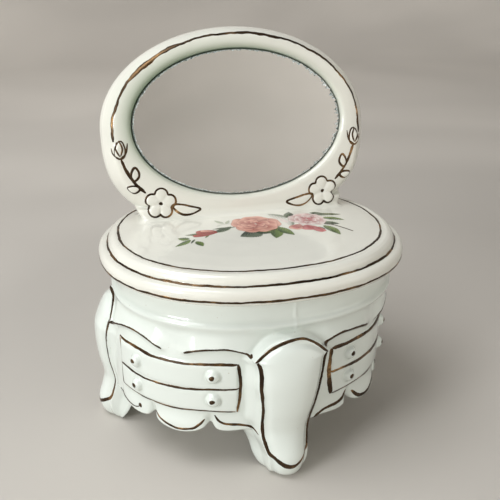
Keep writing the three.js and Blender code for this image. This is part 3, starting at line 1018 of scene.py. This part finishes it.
def leg_gold(degrees, seed):
    """Outline of one leg's face: the U down to the foot and the arch above it."""
    z = np.concatenate([np.linspace(LEG_EAR_Z, 11, 60), np.linspace(10.6, 6.5, 14)])
    half = np.array([float(leg_half(v)) for v in z])
    close = np.sqrt(np.clip((z - 6.3) / 5.0, 0, 1))
    half = np.where(z < 11.3, half * close, half) - 0.6
    down = np.stack([half, z], 1)
    outline = np.vstack([down, (down * [-1, 1])[::-1]])
    arch = spline(LEG_ARCH, 60)
    strips = []
    _, side, out = leg_root(degrees)
    for number, (path, width) in enumerate(((outline, 1.25), (arch, 1.15))):
        s = path[:, 0] / np.maximum([float(leg_half(v)) for v in path[:, 1]], 0.5)
        proud = leg_face(np.clip(s, -1, 1), path[:, 1], LEG_EXTRA.get(degrees, SIDE_EXTRA))
        place = on_leg(path[:, 0], proud, path[:, 1], degrees)
        rays = -out + side * (-0.5 * np.clip(s, -1, 1))[:, None]
        rays[:, 2] = np.where(path[:, 1] > LEG_EAR_Z, -0.35, 0.0)
        blots = () if number else LEG_BLOTS
        strips.append(ribbon(base_tree, (place, rays), width, seed + number, 0.1, blots=blots))
    return strips


def base_gold():
    strips = []
    folds = [lambda p: -front_angle(p), front_angle, back_angle, lambda p: -back_angle(p)]
    for number, angle_of in enumerate(folds):
        strips += panel_gold(angle_of, 100 + 50 * number, 1.4 if number == 1 else 0.92)
    for number, degrees in enumerate(LEGS):
        strips += leg_gold(degrees, 400 + 10 * number)
    return strips


TOP_RING_SHIFT = np.array([-0.5, 0.6, 0.0])  # the line on the top is painted off centre


LID_RINGS = [  # half width, height, how its rays point in and down, line width, shift
    (A - 0.12, SEAT_Z + 1.9, -1.0, 0.0, 1.05, 0.0),
    (A - 3.7, SEAT_Z + 6.5, -0.5, -1.0, 1.0, 0.0),
    (A - 8.7, SEAT_Z + 10.3, 0.0, -1.0, 0.9, TOP_RING_SHIFT),
]


def lid_ring_gold():
    strips = []
    degrees = np.linspace(0, 360, 721)
    for number, (r, z, inward, down, width, shift) in enumerate(LID_RINGS):
        place = oval_ring(degrees, r, z) + shift
        rays = (oval_ring(degrees, r, z, 1.0) - place) * inward + np.array([0, 0, down])
        strips.append(ribbon(lid_tree, (place, rays), width, 500 + number, 0.16, False, True))
    return strips


def frame_path(outline, side, d=2.0):
    """Points of the mirror plane at height d, with rays into the frame."""
    outline = np.asarray(outline)
    place = on_mirror(outline[:, 0] * side, outline[:, 1], d)
    return place, np.repeat(-D_AXIS[None], len(place), 0)


SEPALS = [
    [(50.6, -10.6), (48, -8.6), (47.2, -4.6)], [(50.6, -10.6), (53, -9), (53.6, -6.4)],
    [(50.3, -9.6), (49.4, -6.6), (50.6, -3.4)], [(50.6, -9.8), (52, -6.8), (51.4, -4)],
]


FRAME_BLOTS = [(34, 5, 0.9), (47, 3, 0.6), (88, 8, 0.35), (160, 7, 0.3)]  # at mm, reach, strength


def frame_gold():
    turn = np.radians(np.linspace(-94, 96, 220))
    edge = frame_path(frame_gold_edge(turn), 1, 1.0)
    strips = [ribbon(lid_tree, edge, 1.3, 611, 0.35, blots=FRAME_BLOTS)]
    outlines = [outline for outline, _ in spray_shapes()[:-PETALS]]
    outlines.append(flower_outline(FLOWER, FLOWER_REACH + 0.1))
    for side in (1, -1):
        seed = 620 + 40 * side
        for number, outline in enumerate(outlines):
            path = frame_path([*outline, *outline[:2]], side)
            width = 0.9 if number else 0.75
            strips.append(ribbon(lid_tree, path, width, seed + number, 0.08, False))
        strips.append(ribbon(lid_tree, frame_path(spline(STEM, 60), side), 1.15, seed + 20, 0.1))
        for number, sepal in enumerate(SEPALS):
            path = frame_path(spline(sepal, 30), side)
            strips.append(ribbon(lid_tree, path, 0.7, seed + 24 + number, 0.05))
        place = on_mirror(FLOWER[0] * side, FLOWER[1], 3.0)
        strips.append(dot(lid_tree, place, -D_AXIS, 0.85, 1.0, seed))
    return strips


gold_piece("base_gold_lines", base_gold(), "base")
gold_piece("lid_gold_rings", lid_ring_gold(), "lid")
gold_piece("frame_gold_lines", frame_gold(), "lid")


# ---- mirror -------------------------------------------------------------
CHIP_STEPS = [  # share of the chips' depth inwards, depth
    (1.3, 0), (1.05, 0), (1, -0.05), (0.72, -0.2), (0.45, -0.42), (0.2, -0.7),
    (0.03, -1.1), (0.02, -2),
]


def mirror_plate():
    """Silvered plate with a hand-cut edge, chipped most on its right side."""
    cols = 1100
    t = np.arange(cols) * 2 * np.pi / cols
    rough = 0.30 + 0.85 * smooth_step(0.35, 0.95, np.sin(t + 0.12))
    nibble = np.clip(0.5 + 0.5 * soft_noise(t * 30, 31, (1.0, 2.7, 6.1)), 0, 1.4)
    nibble = nibble + 0.35 * soft_noise(t * 110, 32)
    chips = 0.32 + 1.35 * rough * nibble
    edge = ellipse(t, GLASS_HALF, GLASS_RAISE)
    normal = np.stack([np.sin(t) / GLASS_HALF[0], np.cos(t) / GLASS_HALF[1]], -1)
    normal /= np.linalg.norm(normal, axis=1)[:, None]
    field = edge - normal * 4.0
    rings = [on_mirror(field[:, 0], field[:, 1], 0.0)]
    for share, d in CHIP_STEPS:
        uv = edge - normal * (chips * share)[:, None]
        ripple = 0.10 * rough * soft_noise(t * 90 + share * 3, 40) if 0.1 < share < 0.99 else 0.0
        rings.append(on_mirror(uv[:, 0], uv[:, 1], np.minimum(d + ripple, 0.0)))
    rings.append(on_mirror(np.sin(t) * 8, np.cos(t) * 5 + GLASS_RAISE, -2.0))
    verts, faces = loft(rings[::-1], close_end=False)
    faces.append(range((len(rings) - 1) * cols, len(rings) * cols))
    plate = new_mesh("mirror_plate", verts, faces, mirror_material("silvered_glass"))
    plate.data.materials.append(chipped_material("chipped_edge_painted_glints"))
    depths = (mesh_points(plate) - MIRROR_MID) @ D_AXIS
    for face in plate.data.polygons:
        face.use_smooth = False
        if min(depths[list(face.vertices)]) < -0.02:
            face.material_index = 1
    return plate


plate = mirror_plate()
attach(plate, "lid")
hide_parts("mirror_glass")
glue_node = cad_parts["mirror_glue"]
glue = glue_material("dried_glue")
if glue_node.data.materials:
    glue_node.material_slots[0].material = glue
else:
    glue_node.data.materials.append(glue)


# ---- printed flowers on the lid ----------------------------------------
# The flowers are painted stroke by stroke on a fine patch of the lid's top.
DECAL_LOW = np.array([-37.0, -25.0])
DECAL_HIGH = np.array([42.0, 9.5])
DECAL_PITCH = 0.17


class Canvas:
    def __init__(self):
        nx, ny = ((DECAL_HIGH - DECAL_LOW) / DECAL_PITCH).astype(int) + 1
        self.x, self.y = np.meshgrid(
            np.linspace(DECAL_LOW[0], DECAL_HIGH[0], nx), np.linspace(DECAL_LOW[1], DECAL_HIGH[1], ny)
        )
        self.ink = np.ones((ny, nx, 3)) * np.array(CREAM)
        self.cover = np.zeros((ny, nx))

    def lay(self, mask, color):
        mask = np.clip(mask, 0, 1)
        self.ink += (np.asarray(color) - self.ink) * mask[..., None]
        self.cover = np.maximum(self.cover, mask)

    def local(self, centre, turn):
        dx, dy = self.x - centre[0], self.y - centre[1]
        c, s = math.cos(turn), math.sin(turn)
        return dx * c + dy * s, -dx * s + dy * c

    def petal(self, centre, turn, length, half, root, lip, outline=None, curl=0.0):
        """Rounded petal growing from its centre, dark at the root, light at the lip."""
        a, b = self.local(centre, turn)
        b = b - curl * (a / length) ** 2
        t = np.clip(a / length, 0, 1)
        width = half * np.sqrt(np.clip(1 - (2 * t - 1.05) ** 2 * 0.93, 0, 1)) * (0.65 + 0.45 * t)
        signed = np.minimum(width - np.abs(b), np.minimum(a + 0.1, length - a))
        mask = smooth_step(-0.12, 0.12, signed)
        shade = np.clip(t**1.4 + 0.18 * np.sin(b * 5.5 / half + 4 * t), 0, 1)[..., None]
        color = np.asarray(root) * (1 - shade) + np.asarray(lip) * shade
        rim = 0.6 * bell(signed, 0.16)[..., None]
        pale = 0.35 * bell(signed - 0.55, 0.3)[..., None]
        color = color * (1 - pale) + np.minimum(np.asarray(lip) * 1.25, 0.85) * pale
        color = color * (1 - rim) + np.asarray(outline if outline else root) * rim
        self.lay(mask * 0.96, color)

    def petals(self, rows):
        for centre, degrees, *rest in rows:
            self.petal(centre, math.radians(degrees), *rest)

    def leaves(self, rows, strength=0.95):
        for row in rows:
            self.leaf(strength, *row)

    def leaf(self, strength, base, tip, half, dark, light, bend=0.0):
        base, tip = np.array(base, float), np.array(tip, float)
        length = np.hypot(*(tip - base))
        a, b = self.local(base, math.atan2(*(tip - base)[::-1]))
        t = np.clip(a / length, 0, 1)
        b = b - bend * np.sin(np.pi * t)
        teeth = 1 + 0.07 * np.sin(a * 7.0)
        width = half * np.sin(np.pi * t**0.8) ** 0.85 * teeth
        signed = np.where((a > 0) & (a < length), width - np.abs(b), -1.0)
        mask = smooth_step(-0.10, 0.12, signed)
        shade = np.clip(0.5 + 0.5 * np.sign(b) * smooth_step(0, 0.5 * half, np.abs(b)) * 0.8
                        + 0.22 * np.sin(a * 4.2 + np.abs(b) * 5), 0, 1)[..., None]
        color = np.asarray(dark) * (1 - shade) + np.asarray(light) * shade
        vein = bell(b, 0.13) * (1 - t)
        color = color + (np.asarray(light) * 1.35 - color) * 0.6 * vein[..., None]
        self.lay(mask * strength, color)

    def stroke(self, points, width, color, strength=0.9):
        path = spline(points, 60)
        distance = np.full(self.x.shape, 99.0)
        for place in path:
            distance = np.minimum(distance, np.hypot(self.x - place[0], self.y - place[1]))
        self.lay(smooth_step(width / 2 + 0.1, width / 2 - 0.1, distance) * strength, color)


CORAL_DEEP = (0.22, 0.012, 0.012)
CORAL = (0.52, 0.085, 0.065)
CORAL_LIGHT = (0.82, 0.42, 0.33)
BUD_RED = (0.42, 0.04, 0.03)
PINK_DEEP = (0.32, 0.030, 0.045)
PINK = (0.66, 0.20, 0.21)
PINK_PALE = (0.86, 0.72, 0.69)
WHITE_PETAL = (0.76, 0.74, 0.69)
GREEN_DARK = (0.006, 0.020, 0.010)
GREEN = (0.030, 0.075, 0.010)
GREEN_LIGHT = (0.14, 0.22, 0.030)
OLIVE = (0.12, 0.13, 0.03)
GREY_GREEN = (0.12, 0.16, 0.10)
TWIG = (0.03, 0.008, 0.006)


def paint_rose(canvas, centre, reach, squash, colors, layers, seed):
    """Full rose: rings of overlapping petals, the outer ones first."""
    deep, mid, light = [np.array(color) for color in colors]
    rng = np.random.RandomState(seed)
    for layer, (count, share) in enumerate(layers):
        start = rng.uniform(0, 6.28)
        for k in range(count):
            turn = start + k * 2 * math.pi / count + rng.uniform(-0.18, 0.18)
            length = reach * share * rng.uniform(0.92, 1.08)
            out = np.array([math.cos(turn), squash * math.sin(turn)])
            lip = light * rng.uniform(0.9, 1.04)
            root = deep * rng.uniform(0.9, 1.6) if layer else mid * rng.uniform(0.6, 0.9)
            canvas.petal(centre + out * length * 0.10, math.atan2(out[1], out[0]),
                         length * math.hypot(*out), length * 0.62 * (0.7 + 0.3 * squash), root, lip,
                         tuple(deep * 0.8), rng.uniform(-0.6, 0.6))
    canvas.petal(centre, 0.6, reach * 0.2, reach * 0.13, deep * 0.7, mid)


LEFT_LEAVES = [  # all leaves: base, tip, half width, dark, light, bend
    ((-28, -13.8), (-34.9, -18.9), 1.35, GREEN, GREEN_LIGHT, 0.4),
    ((-28.2, -13), (-32.6, -11), 1.6, GREEN, GREEN_LIGHT, 0.3),
    ((-26.2, -16), (-24.6, -21.4), 1.5, GREEN, GREEN_LIGHT, 0.2),
    ((-26.4, -13.8), (-28.6, -17.6), 0.5, GREEN_DARK, GREEN),
    ((-20.5, -8.2), (-29.2, -8.6), 1.1, GREEN, OLIVE, 0.5),
    ((-20, -10.5), (-22.2, -13.6), 0.5, OLIVE, OLIVE),
]
BUD_LEAVES = [
    ((-9.5, -4.2), (-19, -9.2), 1.7, GREEN_DARK, GREEN, 0.5),
    ((-10.5, -5.2), (-17.5, -5.2), 0.8, GREEN_DARK, GREEN, -0.2),
]
PALE_SPRIG = [
    ((-11.6, 0.2), (-14.6, 4.8), 0.95, GREY_GREEN, GREEN_LIGHT, 0.2),
    ((-10.8, -0.6), (-8.6, 3.4), 0.85, GREY_GREEN, GREEN_LIGHT),
]
ROSE_LEAVES = [
    # under the large rose
    ((0.8, -10.6), (-8.6, -15.8), 4, GREEN_DARK, GREY_GREEN, 1.1),
    ((-1.6, -12.4), (4.8, -14.8), 1.5, GREEN_DARK, GREEN, -0.3),
    ((7, -11), (4.6, -20.8), 2.6, GREEN, GREEN_LIGHT, 0.5),
    ((9, -9.4), (12.6, -19.2), 2.3, GREEN, GREEN_LIGHT, -0.4),
    ((9.6, -8.6), (1.4, -14.4), 1.4, GREEN, OLIVE, 0.2),
    # between the roses
    ((15.5, 0.2), (9, 7), 2.4, GREY_GREEN, WHITE_PETAL, 0.4),
    ((16, 0.6), (18.6, 7.4), 2.2, GREEN_DARK, GREY_GREEN, -0.3),
    ((15.2, -5.6), (12.4, 0.6), 1.6, WHITE_PETAL, PINK_PALE),
    ((14.4, -9), (16.2, -2.6), 1.5, GREY_GREEN, WHITE_PETAL),
    # on the right
    ((28, 1.6), (39.8, 0.2), 1.5, GREEN, OLIVE, 0.5),
    ((27, 4.4), (33, 1), 1.6, GREEN_DARK, GREEN, 0.4),
    ((29.5, -2.2), (38.6, -6.6), 1.7, GREEN, GREEN_LIGHT, 0.5),
    ((27.6, -9), (34.8, -10.6), 2, GREEN_DARK, GREEN, 0.5),
    ((27.6, -11.5), (30.6, -22.6), 2.1, GREEN, GREEN_LIGHT, 0.6),
    ((25, -12.6), (24.4, -18.2), 1.9, GREEN_DARK, GREY_GREEN, 0.2),
]
BUD_PETALS = [  # all petals: centre, degrees, length, half width, root, lip, outline, curl
    ((-16.2, -7.6), 172, 8.4, 2.3, CORAL_DEEP, BUD_RED, CORAL_DEEP, 0.6),
    ((-16, -8.6), 196, 10.6, 1.8, CORAL_DEEP, BUD_RED, CORAL_DEEP, -0.8),
    ((-17.5, -7), 166, 5.2, 1.1, CORAL, CORAL_LIGHT),
]
FALLING_PETALS = [
    ((21, -9.6), 252, 5.6, 2.9, PINK_DEEP, PINK, PINK_DEEP, 0.5),
    ((21.6, -10.2), 292, 8.8, 2.3, PINK_DEEP, PINK, PINK_DEEP, 0.6),
    ((18.4, -8.2), 232, 6.4, 3.1, PINK_DEEP, CORAL_LIGHT, PINK_DEEP, -0.4),
    ((17.2, -10.6), 205, 2.8, 1.5, CORAL_DEEP, PINK),
]
CORAL_ROSE = [(5, 1.0), (5, 0.80), (4, 0.58), (3, 0.38)]  # petals in each ring, share of the reach
PINK_ROSE = [(5, 1.0), (5, 0.78), (4, 0.52)]


def paint_garland():
    canvas = Canvas()
    canvas.leaves(LEFT_LEAVES)
    canvas.stroke([(-16.0, -8.0), (-11.5, -5.8), (-7.0, -4.4)], 0.75, GREEN_DARK)
    canvas.leaves(BUD_LEAVES)
    canvas.petals(BUD_PETALS)
    canvas.leaves(PALE_SPRIG, 0.5)
    canvas.stroke([(-15.0, -2.0), (-11.5, -0.6), (-8.4, -0.8)], 0.25, GREY_GREEN, 0.5)
    canvas.leaves(ROSE_LEAVES)
    canvas.stroke([(28.0, -8.6), (32.5, -12.5), (36.9, -19.4)], 0.8, TWIG)
    paint_rose(canvas, (1.2, -3.6), 9.4, 0.92, (CORAL_DEEP, CORAL, CORAL_LIGHT), CORAL_ROSE, 5)
    paint_rose(canvas, (23.4, -3.2), 6.8, 1.0, (PINK_DEEP, PINK, PINK_PALE), PINK_ROSE, 8)
    canvas.petals(FALLING_PETALS)
    return canvas


def lid_decal():
    canvas = paint_garland()
    rows, cols = canvas.x.shape
    keep = canvas.cover > 0.02
    index = -np.ones((rows, cols), int)
    corner = keep[:-1, :-1] | keep[1:, :-1] | keep[:-1, 1:] | keep[1:, 1:]
    used = np.zeros_like(keep)
    for dy in (0, 1):
        for dx in (0, 1):
            used[dy:rows - 1 + dy, dx:cols - 1 + dx] |= corner
    index[used] = np.arange(used.sum())
    verts = []
    for x, y in zip(canvas.x[used], canvas.y[used]):
        hit, _, _, _ = lid_tree.ray_cast(Vector((x, y, PLANE_Z + 6.0)), Vector((0, 0, -1)))
        verts.append((x, y, (hit.z if hit else PLANE_Z) + 0.045))
    r, c = np.nonzero(corner)
    quads = np.stack([index[r, c], index[r, c + 1], index[r + 1, c + 1], index[r + 1, c]], -1)
    patch = new_mesh("lid_flower_print", verts, quads.tolist(), decal_material("printed_flowers"))
    layer = patch.data.attributes.new("ink", "FLOAT_COLOR", "POINT")
    ink = np.concatenate([canvas.ink[used], np.ones((used.sum(), 1))], 1)
    layer.data.foreach_set("color", ink.ravel().astype(np.float32))
    return patch


print_patch = lid_decal()
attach(print_patch, "lid")


# ---- stage, lights and camera ------------------------------------------
FLOOR_COLOR = (0.65, 0.615, 0.57)
FLOOR_R = 1100
COVE_R = 500  # of the bend from the floor up into the wall
WALL_TOP = 1250


def studio_sweep():
    """Pale floor that curves up into a wall all round."""
    turn = np.linspace(0, 2 * np.pi, 97)[:-1]
    profile = [(1, 0), (400, 0), (FLOOR_R, 0)]
    for angle in np.linspace(0, math.pi / 2, 14):
        profile.append((FLOOR_R + COVE_R * math.sin(angle), COVE_R - COVE_R * math.cos(angle)))
    profile.append((FLOOR_R + COVE_R, WALL_TOP))
    rings = [np.stack([r * np.cos(turn), r * np.sin(turn), turn * 0 + z], -1) for r, z in profile]
    verts, faces = loft(rings, close_end=False)
    material = stage_material("pale_floor", FLOOR_COLOR)
    new_mesh("pale_floor", verts, [face[::-1] for face in faces], material)


studio_sweep()


LIGHTS = [  # name, place, target, size, power, colour
    ("window", (-0.75, -0.42, 0.32), (0, 0, 0.05), (0.27, 0.30), 4.1, (0.98, 1.0, 1.0)),
    ("sky", (-0.40, -0.05, 0.88), (0, 0, 0.05), (0.6, 0.6), 4.9, (0.99, 1.0, 1.0)),
    ("room", (-0.55, -0.85, 0.30), (0, 0, 0.06), (0.4, 0.5), 0.6, (1.0, 0.98, 0.95)),
    ("front_wall", (0.9, -0.6, 1.0), (1.25, -1.25, 0.35), (0.9, 0.3), 12.5, (0.98, 1.0, 1.0)),
    ("back_wall", (0.0, 0.6, 1.0), (0.0, 1.6, 0.30), (1.6, 0.3), 5.0, (1.0, 0.98, 0.95)),
]
for name, place, target, size, power, color in LIGHTS:
    light = bpy.data.lights.new(name, "AREA")
    light.shape = "RECTANGLE"
    light.size, light.size_y = size
    light.energy = power
    light.color = color
    lamp = bpy.data.objects.new(name, light)
    lamp.location = place
    lamp.rotation_euler = (Vector(target) - Vector(place)).to_track_quat("-Z", "Y").to_euler()
    bpy.context.scene.collection.objects.link(lamp)


world = bpy.data.worlds.new("studio")
world.use_nodes = True
background = world.node_tree.nodes["Background"]
background.inputs["Color"].default_value = (0.90, 0.90, 0.88, 1.0)
background.inputs["Strength"].default_value = 0.24
bpy.context.scene.world = world
bpy.context.scene.view_settings.view_transform = "Standard"

CAMERA_PLACE = Vector(np.array([-74.0, -272.7, 185.3]) + LID_MIDDLE) * MM
CAMERA_TARGET = Vector(np.array([0.0, 1.75, 69.9]) + LID_MIDDLE) * MM
CAMERA_ROLL = math.radians(0.13)
camera_data = bpy.data.cameras.new("camera")
camera_data.sensor_width = 36.0
camera_data.lens = 52.28
camera_data.clip_start = 0.01
camera = bpy.data.objects.new("camera", camera_data)
aim = (CAMERA_TARGET - CAMERA_PLACE).to_track_quat("-Z", "Y").to_matrix().to_4x4()
camera.matrix_world = Matrix.Translation(CAMERA_PLACE) @ aim @ Matrix.Rotation(CAMERA_ROLL, 4, "Z")
bpy.context.scene.collection.objects.link(camera)
bpy.context.scene.camera = camera
